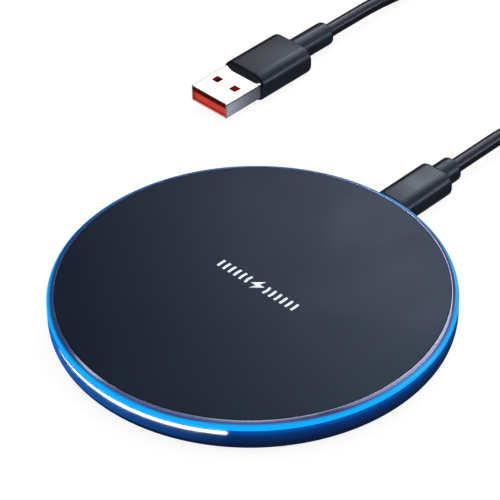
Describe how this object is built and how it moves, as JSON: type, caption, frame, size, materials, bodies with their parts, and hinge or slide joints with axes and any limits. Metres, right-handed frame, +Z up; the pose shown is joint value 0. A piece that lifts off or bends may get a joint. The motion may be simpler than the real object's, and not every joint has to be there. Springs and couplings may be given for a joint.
{
  "type": "wireless charging pad",
  "caption": "Round thin wireless charging pad with a lit rim and a plug-in USB cable that ends in a USB-A plug.",
  "frame": {"origin": "middle of the pad's underside, on the surface the foot ring stands on", "axes": "+Z up out of the top panel, +Y from the middle to the port where the cable leaves, +X to the right seen from above with the port away"},
  "size_m": [0.1122, 0.2406, 0.0082],
  "materials": {
    "panel_matte": "fine matte slate",
    "trim_polished": "polished chamfer, cool silver",
    "light_acrylic": "clear acrylic, lit blue",
    "case_gloss": "glossy blue-black",
    "foot_silicone": "matte silicone",
    "steel_plain": "nickel-plated steel",
    "carrier_plastic": "unpainted white plastic",
    "tape_white": "double-sided tape",
    "copper_wire": "enamelled copper",
    "ferrite": "matte ferrite",
    "foam": "closed-cell foam",
    "board_green": "solder mask",
    "chip_black": "moulded epoxy",
    "ceramic_tan": "fired ceramic",
    "led_white": "white package",
    "plug_moulding": "satin moulded",
    "cord_jacket": "smooth extruded jacket",
    "contact_plastic": "moulded",
    "tongue_red": "moulded, red-orange",
    "contact_gold": "gold-plated",
    "tie_tape": "woven hook-and-loop"
  },
  "bodies": {
    "pad": {"top_panel": "panel_matte", "trim_ring": "trim_polished", "light_ring": "light_acrylic", "bottom_case": "case_gloss", "foot_ring": "foot_silicone", "case_screw_1": "steel_plain", "case_screw_2": "steel_plain", "case_screw_3": "steel_plain", "case_screw_4": "steel_plain", "coil_carrier": "carrier_plastic", "panel_tape": "tape_white", "transmit_coil": "copper_wire", "coil_inner_lead": "copper_wire", "coil_outer_lead": "copper_wire", "ferrite_shield": "ferrite", "foam_spacer": "foam", "thermistor": "chip_black", "main_board": "board_green", "controller_chip": "chip_black", "bridge_chip": "chip_black", "power_inductor": "chip_black", "resonant_capacitor_1": "ceramic_tan", "resonant_capacitor_2": "ceramic_tan", "resonant_capacitor_3": "ceramic_tan", "resonant_capacitor_4": "ceramic_tan", "bulk_capacitor_1": "ceramic_tan", "bulk_capacitor_2": "ceramic_tan", "led_1": "led_white", "led_2": "led_white", "led_3": "led_white", "led_4": "led_white", "led_5": "led_white", "led_6": "led_white", "led_7": "led_white", "led_8": "led_white", "receptacle_shell": "steel_plain", "receptacle_tongue": "contact_plastic"},
    "cable": {"usb_c_shell": "steel_plain", "usb_c_contact_block": "contact_plastic", "usb_c_overmould": "plug_moulding", "usb_c_strain_relief": "plug_moulding", "cord_pad_side": "cord_jacket", "cord_winding": "cord_jacket", "cord_plug_side": "cord_jacket", "winding_tie": "tie_tape", "usb_a_strain_relief": "plug_moulding", "usb_a_overmould": "plug_moulding", "usb_a_shell": "steel_plain", "usb_a_tongue": "tongue_red", "usb_a_contact_1": "contact_gold", "usb_a_contact_2": "contact_gold", "usb_a_contact_3": "contact_gold", "usb_a_contact_4": "contact_gold"}
  },
  "joints": [
    {"name": "plug_pull", "type": "slide", "parent": "pad", "child": "cable", "axis": [0, 1, 0], "range_m": [0, 0.012]}
  ]
}
